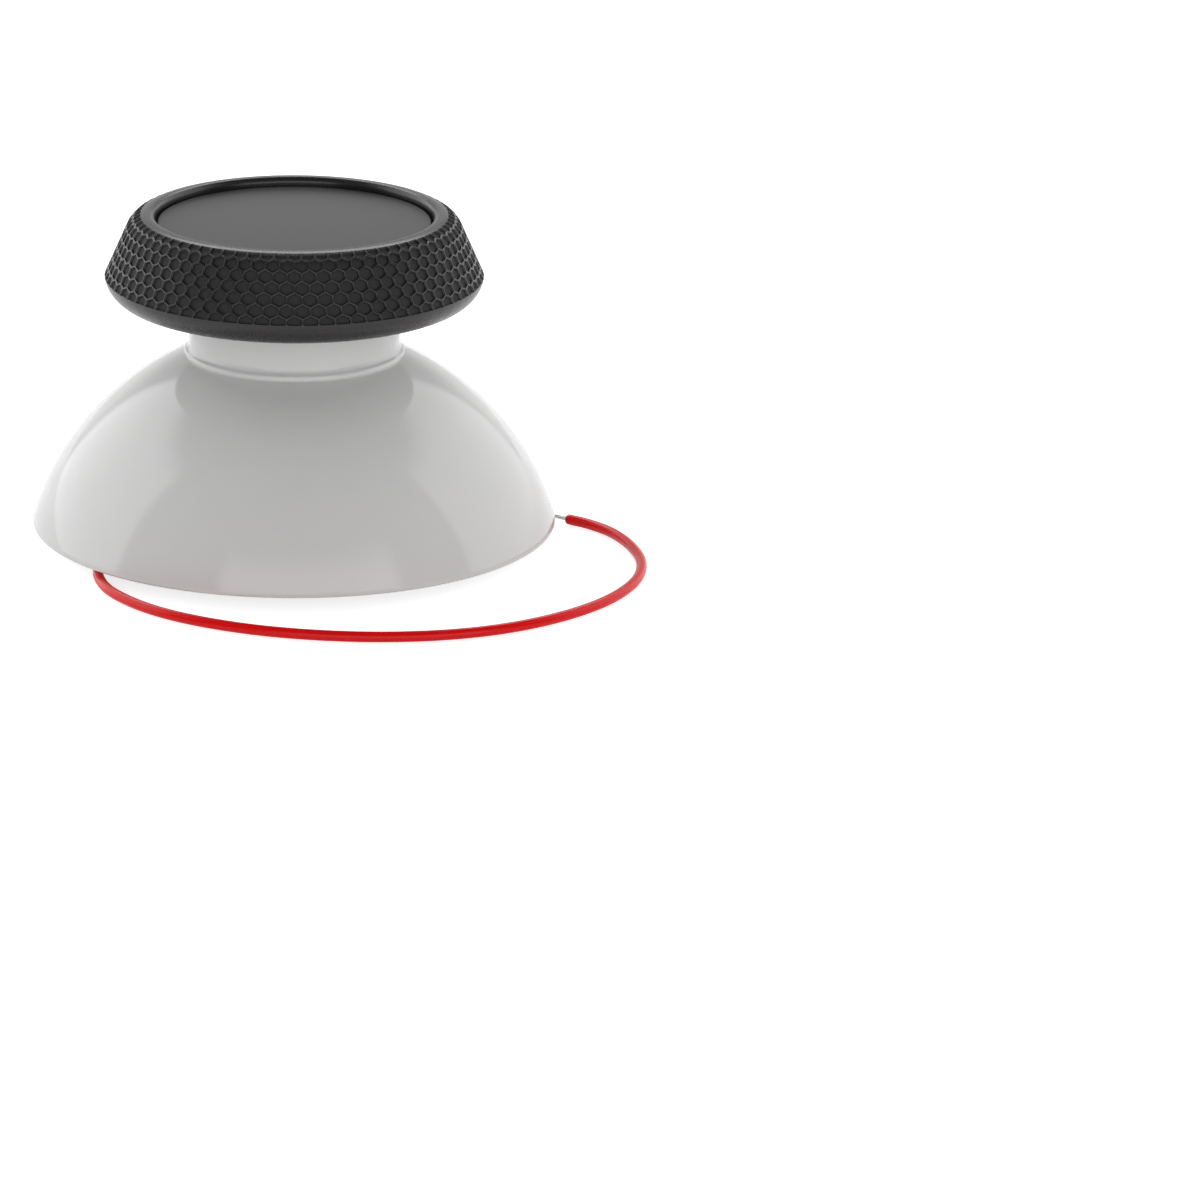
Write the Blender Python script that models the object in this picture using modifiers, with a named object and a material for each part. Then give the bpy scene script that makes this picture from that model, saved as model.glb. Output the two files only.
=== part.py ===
"""Controller thumbstick with a touch-sensing top, as a replacement part.

The stick is a white dome with its neck and socket post in one moulding, a black
grip cap pressed into the neck, a touch disc with an electrode plate under it,
and one thin insulated wire from the electrode to a stripped end.

Everything is in metres, with +Z up. The origin is at the middle of the socket
post's end, which is what the stick stands on: the dome's rim is a little higher,
so that the wire passes under it.
"""

import math

import bmesh
import bpy
from mathutils import Vector

# Fits
CLEARANCE = 0.0001          # between two pieces that seat on or in each other

# Dome: part of a ball, open below
RIM_DIAMETER = 0.0250
DOME_CENTRE_DROP = 0.00365  # the ball's centre below the rim
DOME_WALL = 0.0010
RIM_HEIGHT = 0.0007         # rim above the end of the socket post
RIM_CHAMFER = 0.0001

# Neck
NECK_DIAMETER = 0.0100
NECK_LENGTH = 0.00254       # from the dome to the cap's underside
NECK_WALL = 0.0005
NECK_BORE_DEPTH = 0.0021
FOOT_FLARE_RADIUS = 0.00035  # hollow flare of the neck above its foot bead
FOOT_BEAD_RADIUS = 0.00018   # rounded bead where the neck meets the dome
FOOT_BEAD_REACH = 0.00023    # how far the bead stands out from the neck
FOOT_BEAD_RISE = 0.00009     # the bead's centre above the dome

# Socket post, pushed on the stem of the joystick module
POST_DIAMETER = 0.0064
POST_CHAMFER = 0.0002
SOCKET_DIAMETER = 0.0041
SOCKET_FLATS = 0.0031       # across the two flats
SOCKET_DEPTH = 0.0070
SOCKET_LEAD = 0.0003        # lead-in at the socket's mouth

# Key that stops the cap from turning in the neck
KEY_WIDTH = 0.0010
KEY_DEPTH = 0.0005

# Grip cap
CAP_DIAMETER = 0.01794      # at its widest edge
CAP_HEIGHT = 0.00421        # from its underside to the crest of the lip
CAP_FOOT_DIAMETER = 0.01744
CAP_FOOT_ROUND = 0.00144
BAND_HEIGHT = 0.00118       # smooth band under the widest edge
CREST_DIAMETER = 0.01374    # crest of the lip
CROWN_RADIUS = 0.00116      # round shoulder from the grip's slope up to the crest
LIP_RADIUS = 0.0003         # round inner edge of the lip
NECK_SEAT_DEPTH = 0.0003    # neck let into the cap's underside

# Honeycomb grip: raised ribs round six-sided cells, from the widest edge upwards
CELL_COLUMNS = 74           # cells round the cap
CELL_ROW_PITCH = 0.000534   # between rows, measured up the grip
CELL_FIRST_ROW = 0.00013    # middle of the first row above the widest edge
GRIP_LENGTH = 0.00351       # from the widest edge to the grip's upper end
RIB_HEIGHT = 0.000055
RIB_WIDTH = 0.00013         # at its base
GRIP_END = 0.00006          # slope between the grip's cut ends and the smooth plastic

# Touch disc and electrode plate
DISC_THICKNESS = 0.0005
DISC_DROP = 0.00041         # top of the disc's edge below the crest of the lip
DISC_CROWN = 0.00010        # rise of the disc's middle above its edge
DISC_EDGE_ROUND = 0.00008
PLATE_DIAMETER = 0.0114
PLATE_THICKNESS = 0.0002

# Wire
WIRE_DIAMETER = 0.0005
CORE_DIAMETER = 0.00025
STRIPPED_LENGTH = 0.0009
WIRE_HOLE_DIAMETER = 0.0007
WIRE_HOLE_RADIUS = 0.0038   # from the stick's axis to the wire hole
WIRE_HOLE_ANGLE = math.radians(200.0)
SOLDER_POCKET_DIAMETER = 0.0016
SOLDER_POCKET_DEPTH = 0.0007
SOLDER_DIAMETER = 0.0012
SOLDER_HEIGHT = 0.00045
SOLDER_TAIL = 0.00045       # soldered strands below the joint

# Facets
TURN_STEPS = 48
SMALL_STEPS = 20
SHARP_ANGLE = math.radians(20.0)
MERGE_DISTANCE = 0.000001

# Heights and radii that follow from these sizes
RIM_RADIUS = RIM_DIAMETER / 2
DOME_BALL_RADIUS = math.hypot(RIM_RADIUS, DOME_CENTRE_DROP)
NECK_RADIUS = NECK_DIAMETER / 2
POST_RADIUS = POST_DIAMETER / 2
BORE_RADIUS = NECK_RADIUS - NECK_WALL
DOME_CENTRE_Z = RIM_HEIGHT - DOME_CENTRE_DROP
NECK_FOOT_Z = DOME_CENTRE_Z + math.sqrt(DOME_BALL_RADIUS ** 2 - NECK_RADIUS ** 2)
CAP_Z = NECK_FOOT_Z + NECK_LENGTH
NECK_TOP_Z = CAP_Z + NECK_SEAT_DEPTH - CLEARANCE
BORE_FLOOR_Z = NECK_TOP_Z - NECK_BORE_DEPTH
CREST_Z = CAP_Z + CAP_HEIGHT
LIP_WALL_RADIUS = CREST_DIAMETER / 2 - LIP_RADIUS
DISC_RADIUS = LIP_WALL_RADIUS - CLEARANCE
DISC_Z = CREST_Z - DISC_DROP - DISC_THICKNESS
DISC_SEAT_Z = DISC_Z - CLEARANCE
PLATE_Z = DISC_SEAT_Z - PLATE_THICKNESS
PLATE_SEAT_Z = PLATE_Z - CLEARANCE
SOLDER_TOP_Z = PLATE_Z - CLEARANCE
WIRE_TOP_Z = SOLDER_TOP_Z - SOLDER_HEIGHT - SOLDER_TAIL - CLEARANCE
WIRE_LIE_Z = WIRE_DIAMETER / 2 + 0.00001
WIRE_X = WIRE_HOLE_RADIUS * math.cos(WIRE_HOLE_ANGLE)
WIRE_Y = WIRE_HOLE_RADIUS * math.sin(WIRE_HOLE_ANGLE)

# Points (r, z) of the cap's section about its own underside
WIDEST = (CAP_DIAMETER / 2, BAND_HEIGHT)
CROWN = (CREST_DIAMETER / 2, CAP_HEIGHT - CROWN_RADIUS)
FOOT = (CAP_FOOT_DIAMETER / 2, 0.0)

# Route of the wire from the neck's hole, down inside the dome, out under the rim
# and round the front to its stripped end, chosen by hand: x, y and z in metres
WIRE_ROUTE = (
    (WIRE_X, WIRE_Y, 0.0080),
    (-0.00366, -0.00131, 0.0066),
    (-0.00392, -0.00136, 0.0050),
    (-0.00450, -0.00146, 0.0032),
    (-0.00545, -0.00166, 0.0016),
    (-0.00665, -0.00210, 0.00060),
    (-0.00790, -0.00300, WIRE_LIE_Z),
    (-0.00875, -0.00440, WIRE_LIE_Z),
    (-0.00915, -0.00610, WIRE_LIE_Z),
    (-0.00910, -0.00800, WIRE_LIE_Z),
    (-0.00845, -0.01010, WIRE_LIE_Z),
    (-0.00690, -0.01235, WIRE_LIE_Z),
    (-0.00480, -0.01415, WIRE_LIE_Z),
    (-0.00205, -0.01560, WIRE_LIE_Z),
    (0.00090, -0.01645, WIRE_LIE_Z),
    (0.00400, -0.01675, WIRE_LIE_Z),
    (0.00710, -0.01640, WIRE_LIE_Z),
    (0.01000, -0.01532, WIRE_LIE_Z),
    (0.01260, -0.01348, WIRE_LIE_Z),
    (0.01462, -0.01115, WIRE_LIE_Z),
    (0.01593, -0.00840, WIRE_LIE_Z),
    (0.01635, -0.00560, WIRE_LIE_Z),
    (0.01600, -0.00305, WIRE_LIE_Z),
    (0.01520, -0.00090, WIRE_LIE_Z),
    (0.01415, 0.00052, WIRE_LIE_Z),
    (0.01310, 0.00140, WIRE_LIE_Z),
)
WIRE_SPACING = 0.00115      # between points along the wire's tube


def remove_all_objects():
    """Clear the scene."""
    for obj in list(bpy.data.objects):
        bpy.data.objects.remove(obj, do_unlink=True)


def new_collection(name):
    """Collection linked to the scene."""
    collection = bpy.data.collections.new(name)
    bpy.context.scene.collection.children.link(collection)
    return collection


def principled(name, colour, roughness, metallic=0.0):
    """Material with one Principled BSDF."""
    material = bpy.data.materials.new(name)
    material.use_nodes = True
    shader = material.node_tree.nodes["Principled BSDF"]
    shader.inputs["Base Color"].default_value = (*colour, 1.0)
    shader.inputs["Roughness"].default_value = roughness
    shader.inputs["Metallic"].default_value = metallic
    material.diffuse_color = (*colour, 1.0)
    return material


def arc(centre, radius, start, end, steps):
    """Points (r, z) on an arc about centre, angles in degrees from +r."""
    points = []
    for i in range(steps + 1):
        angle = math.radians(start + (end - start) * i / steps)
        points.append((centre[0] + radius * math.cos(angle), centre[1] + radius * math.sin(angle)))
    return points


def fillet(before, corner, after, radius, steps):
    """Points of an arc that rounds the corner between two straight runs."""
    corner = Vector(corner)
    to_before = Vector(before) - corner
    to_after = Vector(after) - corner
    half = to_before.angle(to_after) / 2
    longest = 0.95 * min(to_before.length, to_after.length)
    radius = min(radius, longest * math.tan(half))
    reach = radius / math.tan(half)
    middle = (to_before.normalized() + to_after.normalized()).normalized()
    centre = corner + middle * (radius / math.sin(half))
    first = corner + to_before.normalized() * reach - centre
    last = corner + to_after.normalized() * reach - centre
    turn = first.angle_signed(last)
    start = math.atan2(first.y, first.x)
    points = []
    for i in range(steps + 1):
        angle = start - turn * i / steps
        points.append((centre.x + radius * math.cos(angle), centre.y + radius * math.sin(angle)))
    return points


def add_object(name, data, collection, parent, location=(0.0, 0.0, 0.0)):
    """Object for the data, in the collection and under the parent."""
    obj = bpy.data.objects.new(name, data)
    obj.location = location
    obj.parent = parent
    collection.objects.link(obj)
    return obj


def turned(name, profile, material, collection, parent, z=0.0, steps=TURN_STEPS):
    """Profile of (r, z) points turned round the Z axis with a Screw modifier."""
    mesh = bpy.data.meshes.new(name)
    shape = bmesh.new()
    verts = [shape.verts.new((r, 0.0, height)) for r, height in profile]
    for first, second in zip(verts, verts[1:]):
        shape.edges.new((first, second))
    shape.to_mesh(mesh)
    shape.free()
    mesh.materials.append(material)
    obj = add_object(name, mesh, collection, parent, (0.0, 0.0, z))
    screw = obj.modifiers.new("turn", "SCREW")
    screw.axis = "Z"
    screw.angle = math.tau
    screw.steps = steps
    screw.render_steps = steps
    screw.use_merge_vertices = True
    screw.merge_threshold = MERGE_DISTANCE
    screw.use_smooth_shade = True
    return obj


def as_cutter(obj):
    """Show an object as a cutter, which isn't part of the model."""
    obj.hide_render = True
    obj.display_type = "WIRE"
    return obj


def round_cutter(name, radius, bottom, top, x, y, collection, parent):
    """Upright cylinder used to cut a round hole."""
    mesh = bpy.data.meshes.new(name)
    shape = bmesh.new()
    bmesh.ops.create_cone(shape, cap_ends=True, segments=SMALL_STEPS, radius1=radius, radius2=radius,
                          depth=top - bottom)
    shape.to_mesh(mesh)
    shape.free()
    return as_cutter(add_object(name, mesh, collection, parent, (x, y, (bottom + top) / 2)))


def box_cutter(name, size, centre, turn, collection, parent):
    """Box used to cut a slot or to add a rib, turned about Z."""
    mesh = bpy.data.meshes.new(name)
    shape = bmesh.new()
    bmesh.ops.create_cube(shape, size=1.0)
    bmesh.ops.scale(shape, vec=size, verts=shape.verts)
    shape.to_mesh(mesh)
    shape.free()
    obj = add_object(name, mesh, collection, parent, centre)
    obj.rotation_euler.z = turn
    return as_cutter(obj)


def keyed_cutter(name, bottom_grow, top_grow, bottom, top, collection, parent):
    """Round socket shape with two flats, wider at its ends by the grow values."""
    mesh = bpy.data.meshes.new(name)
    shape = bmesh.new()
    radius = SOCKET_DIAMETER / 2
    bmesh.ops.create_cone(shape, cap_ends=True, segments=2 * SMALL_STEPS, radius1=radius + bottom_grow,
                          radius2=radius + top_grow, depth=top - bottom)
    lean = (top_grow - bottom_grow) / (top - bottom)
    flat = SOCKET_FLATS / 2 + (top_grow + bottom_grow) / 2
    for side in (1.0, -1.0):
        cut = bmesh.ops.bisect_plane(
            shape, geom=shape.verts[:] + shape.edges[:] + shape.faces[:], dist=1e-8,
            plane_co=(0.0, side * flat, 0.0), plane_no=(0.0, side, -lean), clear_outer=True)
        rim = [edge for edge in cut["geom_cut"] if isinstance(edge, bmesh.types.BMEdge)]
        bmesh.ops.edgeloop_fill(shape, edges=rim)
    bmesh.ops.recalc_face_normals(shape, faces=shape.faces[:])
    shape.to_mesh(mesh)
    shape.free()
    return as_cutter(add_object(name, mesh, collection, parent, (0.0, 0.0, (bottom + top) / 2)))


def boolean(target, tool, operation="DIFFERENCE"):
    """Cut the target with the tool, or join the two."""
    modifier = target.modifiers.new(tool.name, "BOOLEAN")
    modifier.operation = operation
    modifier.object = tool
    modifier.solver = "EXACT"


def smooth_route(points, spacing):
    """Points at an even spacing on a smooth curve through the route's points."""
    route = [Vector(point) for point in points]
    ends = [2 * route[0] - route[1], *route, 2 * route[-1] - route[-2]]
    dense = []
    for a, b, c, d in zip(ends, ends[1:], ends[2:], ends[3:]):
        for i in range(24):
            t = i / 24
            dense.append(0.5 * (2 * b + (c - a) * t + (2 * a - 5 * b + 4 * c - d) * t ** 2
                                + (3 * b - 3 * c + d - a) * t ** 3))
    dense.append(route[-1])
    travelled = [0.0]
    for a, b in zip(dense, dense[1:]):
        travelled.append(travelled[-1] + (b - a).length)
    count = round(travelled[-1] / spacing)
    even = []
    k = 0
    for i in range(count + 1):
        wanted = travelled[-1] * i / count
        while k < len(dense) - 2 and travelled[k + 1] < wanted:
            k += 1
        share = (wanted - travelled[k]) / (travelled[k + 1] - travelled[k])
        even.append(dense[k].lerp(dense[k + 1], share))
    return even


def tube(name, points, diameter, material, collection, parent):
    """Round tube with closed ends along the points."""
    curve = bpy.data.curves.new(name, "CURVE")
    curve.dimensions = "3D"
    curve.bevel_depth = diameter / 2
    curve.bevel_resolution = 2
    curve.use_fill_caps = True
    spline = curve.splines.new("POLY")
    spline.points.add(len(points) - 1)
    for target, point in zip(spline.points, points):
        target.co = (*point, 1.0)
    curve.materials.append(material)
    return add_object(name, curve, collection, parent)


def angle_between(near, far, opposite):
    """Angle in degrees between two sides of a triangle, from the three lengths."""
    return math.degrees(math.acos((near ** 2 + far ** 2 - opposite ** 2) / (2 * near * far)))


def foot_profile():
    """Hollow flare and round bead of the neck's foot, and the angle where the dome takes over."""
    bead_r = NECK_RADIUS + FOOT_BEAD_REACH - FOOT_BEAD_RADIUS
    bead_z = DOME_CENTRE_Z + math.sqrt(DOME_BALL_RADIUS ** 2 - bead_r ** 2) + FOOT_BEAD_RISE
    both_radii = FOOT_FLARE_RADIUS + FOOT_BEAD_RADIUS
    flare_r = NECK_RADIUS + FOOT_FLARE_RADIUS
    lean = math.degrees(math.acos((flare_r - bead_r) / both_radii))
    flare_z = bead_z + both_radii * math.sin(math.radians(lean))
    reach = math.hypot(bead_r, bead_z - DOME_CENTRE_Z)
    tilt = math.degrees(math.atan2(bead_z - DOME_CENTRE_Z, bead_r))
    bead_end = tilt - 180.0 + angle_between(FOOT_BEAD_RADIUS, reach, DOME_BALL_RADIUS)
    dome_start = tilt - angle_between(DOME_BALL_RADIUS, reach, FOOT_BEAD_RADIUS)
    points = arc((flare_r, flare_z), FOOT_FLARE_RADIUS, 180.0, 180.0 + lean, 3)
    points += arc((bead_r, bead_z), FOOT_BEAD_RADIUS, lean, bead_end, 5)[1:]
    return points, dome_start


def dome_profile():
    """Section of the dome, neck and socket post, from the bore's floor outwards."""
    inner_radius = DOME_BALL_RADIUS - DOME_WALL
    centre = (0.0, DOME_CENTRE_Z)
    foot, dome_start = foot_profile()
    rim_angle = math.degrees(math.asin((RIM_HEIGHT + RIM_CHAMFER - DOME_CENTRE_Z) / DOME_BALL_RADIUS))
    inner_rim = math.degrees(math.asin((RIM_HEIGHT + RIM_CHAMFER - DOME_CENTRE_Z) / inner_radius))
    inner_end = math.degrees(math.acos(POST_RADIUS / inner_radius))
    rim_inside = math.sqrt(inner_radius ** 2 - (RIM_HEIGHT - DOME_CENTRE_Z) ** 2)
    profile = [(0.0, BORE_FLOOR_Z), (BORE_RADIUS, BORE_FLOOR_Z), (BORE_RADIUS, NECK_TOP_Z),
               (NECK_RADIUS, NECK_TOP_Z)]
    profile += foot
    profile += arc(centre, DOME_BALL_RADIUS, dome_start, rim_angle, 11)[1:]
    profile += [(RIM_RADIUS - RIM_CHAMFER, RIM_HEIGHT), (rim_inside + RIM_CHAMFER, RIM_HEIGHT)]
    profile += arc(centre, inner_radius, inner_rim, inner_end, 7)
    profile += [(POST_RADIUS, POST_CHAMFER), (POST_RADIUS - POST_CHAMFER, 0.0), (0.0, 0.0)]
    return profile


def tangent_angle(centre, radius, point):
    """Angle in degrees of the place where a line from the point touches the circle."""
    to_point = Vector(point) - Vector(centre)
    return math.degrees(math.atan2(to_point.y, to_point.x) + math.acos(radius / to_point.length))


def grip_angle(length):
    """Slope of the grip as an angle in degrees from +r, at a length up it from the widest edge."""
    start = tangent_angle(CROWN, CROWN_RADIUS, WIDEST)
    straight = math.sqrt((Vector(WIDEST) - Vector(CROWN)).length_squared - CROWN_RADIUS ** 2)
    return start + math.degrees(max(0.0, length - straight) / CROWN_RADIUS)


def grip_point(length, height):
    """Point (r, z) at a length up the grip, or down the band if negative, and a height off the rib tops."""
    if length < 0.0:
        return Vector(WIDEST) + (Vector(FOOT) - Vector(WIDEST)).normalized() * -length
    angle = math.radians(grip_angle(length))
    out = Vector((math.cos(angle), math.sin(angle)))
    place = Vector(CROWN) + out * CROWN_RADIUS
    if grip_angle(length) == grip_angle(0.0):
        place = Vector(WIDEST) + Vector((-out.y, out.x)) * length
    return place + out * height


def cap_underside():
    """Section of the grip cap from its boss's end round to the smooth band under the grip."""
    boss_radius = BORE_RADIUS - CLEARANCE
    boss_end = BORE_FLOOR_Z + CLEARANCE - CAP_Z
    seat_radius = NECK_RADIUS + CLEARANCE
    profile = [(0.0, boss_end), (boss_radius - CLEARANCE, boss_end), (boss_radius, boss_end + CLEARANCE),
               (boss_radius, NECK_SEAT_DEPTH), (seat_radius, NECK_SEAT_DEPTH), (seat_radius, 0.0)]
    band_top = grip_point(-GRIP_END, 0.0)
    profile += [*fillet((seat_radius, 0.0), FOOT, band_top, CAP_FOOT_ROUND, 5), band_top]
    return profile


def cap_recess():
    """Section of the grip cap from the grip's upper end over the lip to the middle of the recess."""
    disc_seat = DISC_SEAT_Z - CAP_Z
    plate_seat = PLATE_SEAT_Z - CAP_Z
    plate_radius = PLATE_DIAMETER / 2 + CLEARANCE
    lip = (CREST_DIAMETER / 2, CAP_HEIGHT - LIP_RADIUS)
    profile = arc(CROWN, CROWN_RADIUS, grip_angle(GRIP_LENGTH + GRIP_END), 90.0, 2)
    profile += arc(lip, LIP_RADIUS, 90.0, 180.0, 3)[1:]
    profile += [(LIP_WALL_RADIUS, disc_seat), (plate_radius, disc_seat), (plate_radius, plate_seat),
                (0.0, plate_seat)]
    return profile


def honeycomb_sheet(pitch):
    """Flat sheet of cells between ribs: x runs round the cap, y up the grip and z outwards."""
    sheet = bmesh.new()
    rows = math.ceil((GRIP_LENGTH - CELL_FIRST_ROW) / CELL_ROW_PITCH - 1 / 3) + 1
    for row in range(-1, rows):
        for column in range(CELL_COLUMNS):
            cell = bmesh.ops.create_circle(sheet, cap_ends=True, segments=6, radius=1.0)["verts"]
            bmesh.ops.scale(sheet, vec=(pitch / math.sqrt(3), CELL_ROW_PITCH * 2 / 3, 1.0), verts=cell)
            place = ((column + 0.5 * (row % 2)) * pitch, CELL_FIRST_ROW + row * CELL_ROW_PITCH, 0.0)
            bmesh.ops.translate(sheet, vec=place, verts=cell)
    bmesh.ops.remove_doubles(sheet, verts=sheet.verts[:], dist=MERGE_DISTANCE)
    bmesh.ops.inset_individual(sheet, faces=sheet.faces[:], thickness=RIB_WIDTH / 2, depth=-RIB_HEIGHT,
                               use_even_offset=True)
    return sheet


def finish_end(sheet, end, way, pitch):
    """Cut the sheet straight at one end and slope it to an edge of one step a cell; returns its start."""
    made = bmesh.ops.bisect_plane(sheet, geom=sheet.verts[:] + sheet.edges[:] + sheet.faces[:], dist=1e-9,
                                  plane_co=(0.0, end, 0.0), plane_no=(0.0, way, 0.0), clear_outer=True)
    edges = [item for item in made["geom_cut"] if isinstance(item, bmesh.types.BMEdge)]
    left = min(vert.co.x for edge in edges for vert in edge.verts)
    for item in bmesh.ops.extrude_edge_only(sheet, edges=edges)["geom"]:
        if isinstance(item, bmesh.types.BMVert):
            item.co = (left + pitch * round((item.co.x - left) / pitch), end + way * GRIP_END, 0.0)
    return left


def spin_section(shape, profile, start):
    """Turn a section of (r, z) points round the Z axis from the start angle, into the shape."""
    verts = [shape.verts.new((r * math.cos(start), r * math.sin(start), z)) for r, z in profile]
    edges = [shape.edges.new(pair) for pair in zip(verts, verts[1:])]
    bmesh.ops.spin(shape, geom=verts + edges, cent=(0.0, 0.0, 0.0), axis=(0.0, 0.0, 1.0),
                   angle=math.tau, steps=CELL_COLUMNS, use_merge=True)


def cap_mesh():
    """Grip cap about its own underside: the honeycomb wrapped round it, between its turned ends."""
    mean_radius = (CAP_DIAMETER + CREST_DIAMETER) / 4
    pitch = math.tau * mean_radius / CELL_COLUMNS
    shape = honeycomb_sheet(pitch)
    lower_start = finish_end(shape, 0.0, -1.0, pitch) / mean_radius
    upper_start = finish_end(shape, GRIP_LENGTH, 1.0, pitch) / mean_radius
    for vert in shape.verts:
        turn = vert.co.x / mean_radius
        r, z = grip_point(vert.co.y, vert.co.z)
        vert.co = (r * math.cos(turn), r * math.sin(turn), z)
    spin_section(shape, cap_underside(), lower_start)
    spin_section(shape, cap_recess(), upper_start)
    bmesh.ops.remove_doubles(shape, verts=shape.verts[:], dist=MERGE_DISTANCE)
    bmesh.ops.triangulate(shape, faces=[face for face in shape.faces if len(face.verts) > 4])
    bmesh.ops.recalc_face_normals(shape, faces=shape.faces[:])
    mesh = bpy.data.meshes.new("grip_cap")
    shape.to_mesh(mesh)
    shape.free()
    mesh.shade_smooth()
    mesh.set_sharp_from_angle(angle=SHARP_ANGLE)
    return mesh


def add_dome_stem(parts, cutters, parent, material):
    """Dome, neck and socket post, which are one moulding."""
    stem = turned("dome_stem", dome_profile(), material, parts, parent)
    past = CLEARANCE
    boolean(stem, keyed_cutter("socket_cutter", 0.0, 0.0, -past, SOCKET_DEPTH, cutters, parent))
    boolean(stem, keyed_cutter("socket_lead_cutter", SOCKET_LEAD + past, 0.0, -past, SOCKET_LEAD, cutters,
                               parent))
    boolean(stem, round_cutter("wire_hole_cutter", WIRE_HOLE_DIAMETER / 2, BORE_FLOOR_Z - 2 * DOME_WALL,
                               BORE_FLOOR_Z + past, WIRE_X, WIRE_Y, cutters, parent))
    key_length = KEY_DEPTH + NECK_WALL / 2
    key_bottom = BORE_FLOOR_Z - past
    key = box_cutter("neck_key", (key_length, KEY_WIDTH, CAP_Z - key_bottom),
                     (BORE_RADIUS - KEY_DEPTH + key_length / 2, 0.0, (CAP_Z + key_bottom) / 2), 0.0,
                     cutters, parent)
    boolean(stem, key, "UNION")
    return stem


def add_grip_cap(parts, cutters, parent, material):
    """Black grip cap, with the boss that is pressed into the neck."""
    cap = add_object("grip_cap", cap_mesh(), parts, parent, (0.0, 0.0, CAP_Z))
    cap.data.materials.append(material)
    boss_end = BORE_FLOOR_Z + CLEARANCE
    hole_radius = WIRE_HOLE_DIAMETER / 2
    boolean(cap, round_cutter("wire_way_cutter", hole_radius, boss_end - CLEARANCE, PLATE_SEAT_Z + CLEARANCE,
                              WIRE_X, WIRE_Y, cutters, parent))
    slot_length = BORE_RADIUS - WIRE_HOLE_RADIUS + CLEARANCE
    slot_middle = WIRE_HOLE_RADIUS + slot_length / 2
    slot_top = CAP_Z + NECK_SEAT_DEPTH
    slot_centre = (slot_middle * math.cos(WIRE_HOLE_ANGLE), slot_middle * math.sin(WIRE_HOLE_ANGLE),
                   (slot_top + boss_end - CLEARANCE) / 2)
    boolean(cap, box_cutter("wire_slot_cutter",
                            (slot_length, WIRE_HOLE_DIAMETER, slot_top - boss_end + CLEARANCE),
                            slot_centre, WIRE_HOLE_ANGLE, cutters, parent))
    boolean(cap, round_cutter("solder_pocket_cutter", SOLDER_POCKET_DIAMETER / 2,
                              PLATE_SEAT_Z - SOLDER_POCKET_DEPTH, PLATE_SEAT_Z + CLEARANCE,
                              WIRE_X, WIRE_Y, cutters, parent))
    key_depth = KEY_DEPTH + 2 * CLEARANCE
    boolean(cap, box_cutter("keyway_cutter",
                            (key_depth, KEY_WIDTH + 2 * CLEARANCE, slot_top - boss_end + CLEARANCE),
                            (BORE_RADIUS - key_depth / 2 + CLEARANCE, 0.0,
                             (slot_top + boss_end - CLEARANCE) / 2),
                            0.0, cutters, parent))
    return cap


def add_touch_disc(parts, parent, material):
    """Smooth, slightly crowned touch disc let into the cap."""
    corner = (DISC_RADIUS - DISC_EDGE_ROUND, DISC_THICKNESS - DISC_EDGE_ROUND)
    profile = []
    for share in (0.0, 0.35, 0.7):
        profile.append((corner[0] * share, DISC_THICKNESS + DISC_CROWN * (1.0 - share ** 2)))
    profile += arc(corner, DISC_EDGE_ROUND, 90.0, 0.0, 3)
    profile += [(DISC_RADIUS, 0.0), (0.0, 0.0)]
    return turned("touch_disc", profile, material, parts, parent, DISC_Z)


def add_electrode_plate(parts, parent, material):
    """Thin round sensing plate under the touch disc."""
    radius = PLATE_DIAMETER / 2
    profile = [(0.0, PLATE_THICKNESS), (radius, PLATE_THICKNESS), (radius, 0.0), (0.0, 0.0)]
    return turned("electrode_plate", profile, material, parts, parent, PLATE_Z)


def add_solder_joint(parts, parent, material):
    """Solder joint under the plate, with the wire's strands in it."""
    radius = SOLDER_DIAMETER / 2
    core = CORE_DIAMETER / 2
    profile = [(0.0, 0.0)]
    for i in range(6):
        share = i / 5
        bulge = core + (radius - core) * math.cos(share * math.pi / 2) ** 0.8
        profile.append((bulge, -SOLDER_HEIGHT * math.sin(share * math.pi / 2)))
    profile += [(core, -SOLDER_HEIGHT - SOLDER_TAIL), (0.0, -SOLDER_HEIGHT - SOLDER_TAIL)]
    joint = turned("solder_joint", profile, material, parts, parent, SOLDER_TOP_Z, SMALL_STEPS)
    joint.location.x = WIRE_X
    joint.location.y = WIRE_Y
    return joint


def add_wire(parts, parent, insulation, tinned):
    """Insulated wire and the bare end past its insulation."""
    top = (WIRE_X, WIRE_Y, WIRE_TOP_Z)
    middle = (WIRE_X, WIRE_Y, (WIRE_TOP_Z + WIRE_ROUTE[0][2]) / 2)
    points = smooth_route((top, middle, *WIRE_ROUTE), WIRE_SPACING)
    wire = tube("signal_wire", points, WIRE_DIAMETER, insulation, parts, parent)
    heading = (points[-1] - points[-2]).normalized()
    start = points[-1] + heading * CLEARANCE
    tip = tube("wire_tip", [start, start + heading * STRIPPED_LENGTH], CORE_DIAMETER, tinned, parts, parent)
    return wire, tip


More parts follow.
